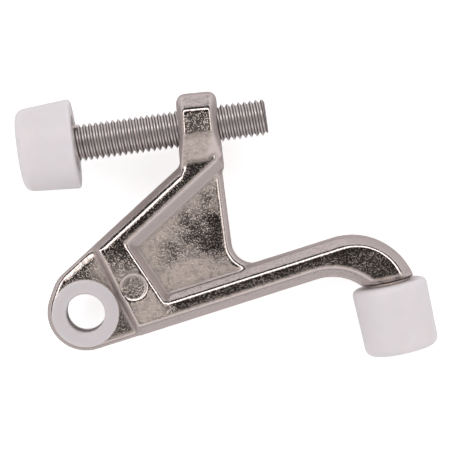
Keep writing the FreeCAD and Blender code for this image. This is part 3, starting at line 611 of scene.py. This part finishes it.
class DOORSTOP_OT_casting(bpy.types.Operator):
    """Give the casting its soft cast edges and its nickel plating"""

    bl_idname = "doorstop.casting"
    bl_label = "Casting"

    def execute(self, context):
        s = context.scene.door_stop.casting
        nickel = plated_nickel(s)
        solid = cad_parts["cast_body"]
        form = bpy.data.objects.new("casting_form", solid.data.copy())
        context.scene.collection.objects.link(form)
        weld = form.modifiers.new("weld", "WELD")
        weld.merge_threshold = 0.002 * MM
        remesh = form.modifiers.new("skin", "REMESH")
        remesh.mode = "VOXEL"
        remesh.voxel_size = s.skin_step
        cast = form.modifiers.new("cast", "NODES")
        rib = dict(Outward=(-math.sin(s.rib_slope), math.cos(s.rib_slope), 0.0),
                   Edge=s.rib_edge, Facet=s.rib_facet)
        end = dict(Outward=(math.sin(s.end_lean), -math.cos(s.end_lean), 0.0),
                   Edge=s.end_face, Facet=0.05 * MM)
        # Along the rib from the tie to the tower, along the eye up to the tie, and the slope at
        # the arm's end, which is filled up and not sunk.
        cast.node_group = cast_skin_tree((
            dict(rib, Width=s.rib_bevel, Drop=s.bevel_drop, Start=11.5 * MM, End=36.0 * MM,
                 Foot=2.0 * MM, Top=4.4 * MM),
            dict(rib, Width=s.eye_bevel, Drop=s.eye_drop, Start=1.0 * MM, End=10.2 * MM,
                 Foot=1.7 * MM, Top=2.5 * MM),
            dict(end, Width=0.8 * MM, Drop=-s.end_fill, Start=-76.0 * MM, End=-56.0 * MM,
                 Foot=2.6 * MM, Top=3.4 * MM),
        ))
        modifier_inputs(cast, softness=s.edge_softness, wave_height=s.waviness,
                        wave_scale=spaced(s.wave_size), material=nickel)
        context.view_layer.update()
        graph = context.evaluated_depsgraph_get()
        mesh = bpy.data.meshes.new_from_object(form.evaluated_get(graph), depsgraph=graph)
        bpy.data.objects.remove(form)
        casting = bpy.data.objects.new("casting", mesh)
        context.scene.collection.objects.link(casting)
        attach(casting, "casting")
        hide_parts("cast_body")
        return {"FINISHED"}


class DOORSTOP_OT_stud(bpy.types.Operator):
    """Finish the threaded stud"""

    bl_idname = "doorstop.stud"
    bl_label = "Stud"

    def execute(self, context):
        dress("adjusting_stud", rolled_steel(context.scene.door_stop.stud))
        return {"FINISHED"}


class DOORSTOP_OT_plastic(bpy.types.Operator):
    """Finish the two bumpers and the two bushes"""

    bl_idname = "doorstop.plastic"
    bl_label = "Bumpers and bushes"

    def execute(self, context):
        s = context.scene.door_stop.plastic
        bumper = moulded_plastic("moulded_polyethylene_bumper", s.bumper, 0.42)
        bush = moulded_plastic("moulded_acetal_bush", s.bush, 0.38, (s.bore_r, BUSH_TOP, s.bore_shade))
        for node in ("stud_bumper", "arm_bumper"):
            dress(node, bumper)
        for node in ("upper_bush", "lower_bush"):
            dress(node, bush)
        return {"FINISHED"}


def white_floor(code):
    """A white floor that stays white in the picture and in reflections, with its shadows."""
    material, tree = new_material("white_paper_floor")
    rays = add_node(tree, "ShaderNodeLightPath").outputs
    mirrored = add_node(tree, "ShaderNodeMath", {"operation": "MAXIMUM"},
                        _0=rays["Is Glossy Ray"], _1=rays["Is Transmission Ray"]).outputs[0]
    glow = add_node(tree, "ShaderNodeMapRange", Value=mirrored, To__Max=0.05).outputs[0]
    glow = add_node(tree, "ShaderNodeMix", {"data_type": "FLOAT"}, Factor=rays["Is Camera Ray"],
                    A=glow, B=0.6).outputs[0]
    paper = add_node(tree, "ShaderNodeBsdfDiffuse", Color=linear(code))
    light = add_node(tree, "ShaderNodeEmission", Strength=glow)
    both = add_node(tree, "ShaderNodeAddShader", _0=paper.outputs[0], _1=light.outputs[0])
    finish_material(tree, both)
    return material


# The tent's cloth, as angles from the middle of its opening in degrees and how bright it is there,
# 1 being white. The lit side has a bright strip and then a dark seam, the near side is more even.
LIT_SIDE = ((0, 0.025), (17, 0.025), (27, 0.33), (31.5, 2.9), (43.5, 2.9), (48, 0.05),
            (66, 0.05), (69, 1.1), (77, 1.1), (84, 0.68), (100, 0.55), (180, 0.42))
NEAR_SIDE = ((0, 0.025), (18, 0.025), (29, 0.45), (44, 0.5), (54, 0.8), (66, 1.1),
             (80, 0.85), (96, 0.54), (180, 0.42))


def tent_light(axis, code):
    """A white tent all round with a dark opening above, where the object is looked at from."""
    world = bpy.data.worlds.new("white_tent")
    world.use_nodes = True
    tree = world.node_tree
    tree.nodes.clear()
    way = add_node(tree, "ShaderNodeTexCoord").outputs["Generated"]
    facing = add_node(tree, "ShaderNodeVectorMath", {"operation": "DOT_PRODUCT"},
                      _0=way, _1=tuple(axis)).outputs["Value"]
    angle = add_node(tree, "ShaderNodeMath", {"operation": "ARCCOSINE"}, _0=facing).outputs[0]
    part = add_node(tree, "ShaderNodeMath", {"operation": "DIVIDE"}, _0=angle,
                    _1=math.pi).outputs[0]
    brightest = max(level for degrees, level in LIT_SIDE + NEAR_SIDE)
    cloths = []
    for stops in (LIT_SIDE, NEAR_SIDE):
        cloth = add_node(tree, "ShaderNodeValToRGB", Fac=part)
        ramp = cloth.color_ramp
        while len(ramp.elements) < len(stops):
            ramp.elements.new(1.0)
        for element, (degrees, level) in zip(ramp.elements, stops):
            element.position = degrees / 180
            element.color = [c * level / brightest for c in linear(code)[:3]] + [1.0]
        cloths.append(cloth.outputs["Color"])
    y = add_node(tree, "ShaderNodeSeparateXYZ", Vector=way).outputs["Y"]
    near = add_node(tree, "ShaderNodeMapRange", Value=y, From__Min=0.15,
                    From__Max=-0.35).outputs[0]
    tent = add_node(tree, "ShaderNodeMix", {"data_type": "RGBA"}, Factor=near,
                    A=cloths[0], B=cloths[1]).outputs["Result"]
    # The camera itself sees plain white.
    rays = add_node(tree, "ShaderNodeLightPath").outputs
    seen = add_node(tree, "ShaderNodeMix", {"data_type": "RGBA"}, Factor=rays["Is Camera Ray"],
                    A=tent, B=[1 / brightest] * 3 + [1.0]).outputs["Result"]
    light = add_node(tree, "ShaderNodeBackground", Color=seen, Strength=brightest)
    add_node(tree, "ShaderNodeOutputWorld", Surface=light.outputs[0])
    return world


class DOORSTOP_OT_stage(bpy.types.Operator):
    """Set the floor, the light tent and the camera"""

    bl_idname = "doorstop.stage"
    bl_label = "Stage"

    def execute(self, context):
        scene = context.scene
        s = scene.door_stop.stage
        low = CAD_BOX[0][2]
        half = s.floor_half
        mesh = bpy.data.meshes.new("floor")
        corners = [(-half, -half, low), (half, -half, low), (half, half, low), (-half, half, low)]
        mesh.from_pydata(corners, [], [(0, 1, 2, 3)])
        mesh.materials.append(white_floor(s.floor))
        floor = bpy.data.objects.new("floor", mesh)
        scene.collection.objects.link(floor)
        turn = Euler(s.turn)
        axis = turn.to_matrix() @ Vector((0.0, 0.0, 1.0))
        opening = axis + Vector((0.0, math.tan(s.opening), 0.0))
        scene.world = tent_light(opening.normalized(), s.cloth)
        data = bpy.data.cameras.new("camera")
        data.lens = s.lens
        data.sensor_width = 36.0
        camera = bpy.data.objects.new("camera", data)
        camera.rotation_euler = turn
        camera.location = Vector(s.aim) + axis * s.distance
        scene.collection.objects.link(camera)
        scene.camera = camera
        scene.view_settings.view_transform = "Standard"
        return {"FINISHED"}


class DOORSTOP_PT_panel(bpy.types.Panel):
    """Lists the door stop's pieces and settings"""

    bl_idname = "DOORSTOP_PT_panel"
    bl_label = "Door stop"
    bl_space_type = "VIEW_3D"
    bl_region_type = "UI"
    bl_category = "Door stop"

    def draw(self, context):
        settings = context.scene.door_stop
        for group, operator in (("casting", "doorstop.casting"), ("stud", "doorstop.stud"),
                                ("plastic", "doorstop.plastic"), ("stage", "doorstop.stage")):
            box = self.layout.box()
            values = getattr(settings, group)
            for name in values.__annotations__:
                box.prop(values, name)
            box.operator(operator)


CLASSES = (
    CastingSettings,
    StudSettings,
    PlasticSettings,
    StageSettings,
    DoorStopSettings,
    DOORSTOP_OT_casting,
    DOORSTOP_OT_stud,
    DOORSTOP_OT_plastic,
    DOORSTOP_OT_stage,
    DOORSTOP_PT_panel,
)


def register():
    for item in CLASSES:
        bpy.utils.register_class(item)
    bpy.types.Scene.door_stop = bpy.props.PointerProperty(type=DoorStopSettings)


def unregister():
    del bpy.types.Scene.door_stop
    for item in reversed(CLASSES):
        bpy.utils.unregister_class(item)


def main():
    register()
    bpy.ops.doorstop.casting()
    bpy.ops.doorstop.stud()
    bpy.ops.doorstop.plastic()
    bpy.ops.doorstop.stage()


if __name__ == "__main__":
    main()
